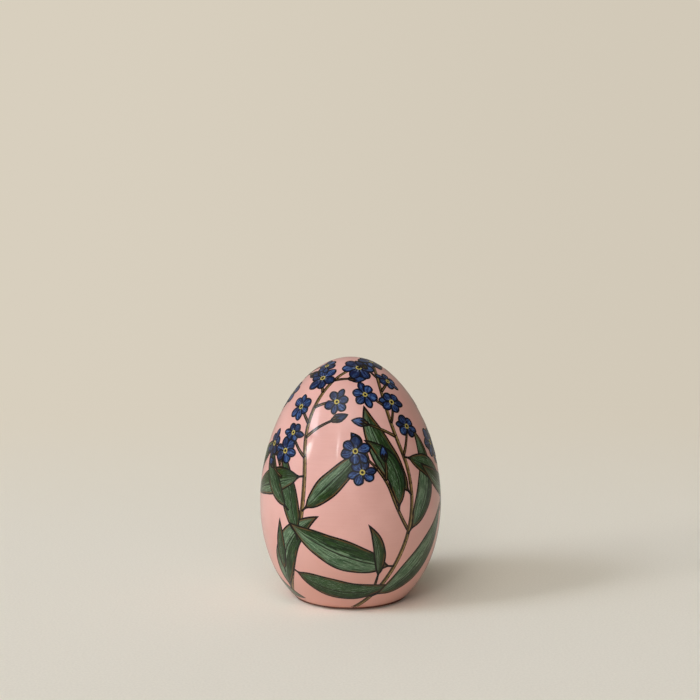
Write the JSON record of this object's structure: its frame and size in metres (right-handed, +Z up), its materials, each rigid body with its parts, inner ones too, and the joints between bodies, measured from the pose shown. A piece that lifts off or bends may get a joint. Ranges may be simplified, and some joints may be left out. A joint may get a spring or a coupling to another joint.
{
  "type": "decorative egg",
  "caption": "Hollow standing egg ornament: two glued paper shells under a lacquered, painted finish, with a flat foot on a felt pad.",
  "frame": {"origin": "middle of the felt pad's underside, where the egg stands", "axes": "+Z up along the egg's axis, from the foot to the tip; the pictured side faces -Y"},
  "size_m": [0.047, 0.047, 0.0624],
  "materials": {
    "paper_pulp": "moulded paper pulp, matt and slightly fibrous",
    "card": "rolled brown card, matt",
    "tissue_paper": "thin pasted paper, matt",
    "pink_lacquer": "pink paint on gesso under clear gloss lacquer",
    "leaf_paint": "brushed green paint under clear gloss lacquer",
    "stem_paint": "brushed olive brown paint under clear gloss lacquer",
    "blossom_paint": "brushed deep blue paint under clear gloss lacquer",
    "felt": "dark brown pressed felt"
  },
  "bodies": {
    "root": {"lower_shell": "paper_pulp", "upper_shell": "paper_pulp", "joint_collar": "card", "seam_tape": "tissue_paper", "ground_coat": "pink_lacquer", "felt_pad": "felt"}
  },
  "joints": []
}
